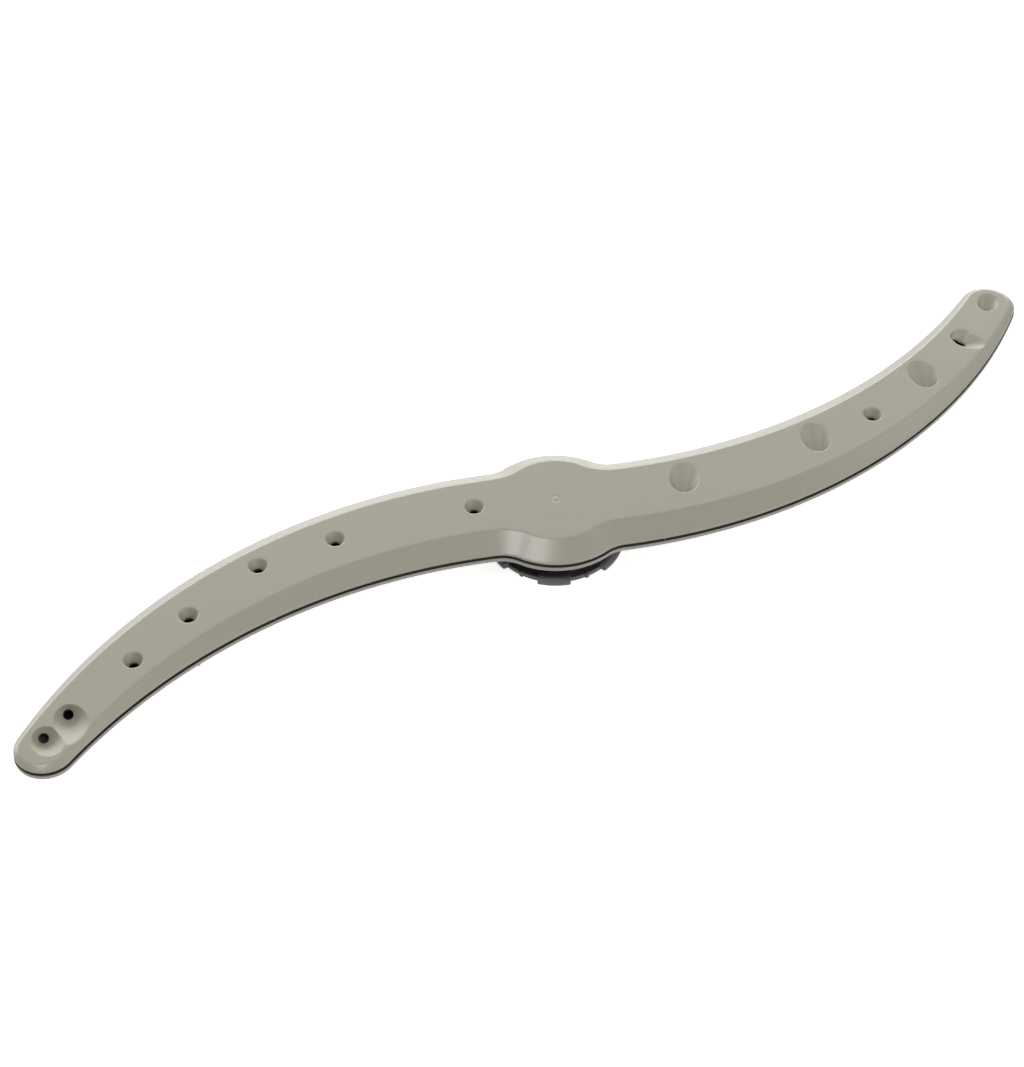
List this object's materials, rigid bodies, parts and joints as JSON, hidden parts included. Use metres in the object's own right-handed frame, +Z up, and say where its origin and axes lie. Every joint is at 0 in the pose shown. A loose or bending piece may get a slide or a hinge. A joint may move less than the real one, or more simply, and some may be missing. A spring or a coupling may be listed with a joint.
{
  "type": "dishwasher spray arm",
  "caption": "S-shaped hollow dishwasher spray arm of two welded plastic shells with water jets along the top, spinning on the sleeve of a dark ring nut under its hub.",
  "frame": {"origin": "on the spin axis, on the ring nut's bottom face", "axes": "+Z up along the spin axis; +X along the arms' length, the right arm bending towards +Y"},
  "size_m": [0.4068, 0.2412, 0.0207],
  "materials": {
    "arm_plastic": "warm grey moulded polypropylene, fine satin",
    "bush_plastic": "off-white acetal, turned smooth",
    "ring_steel": "stainless steel",
    "nut_plastic": "dark grey moulded plastic"
  },
  "bodies": {
    "nut": {"ring_nut": "nut_plastic", "retaining_ring": "ring_steel"},
    "arm": {"upper_shell": "arm_plastic", "lower_shell": "arm_plastic", "bearing_bush": "bush_plastic"}
  },
  "joints": [
    {"name": "arm_spin", "type": "hinge", "parent": "nut", "child": "arm", "pos_m": [0, 0, 0.0139], "axis": [0, 0, 1], "continuous": true}
  ]
}
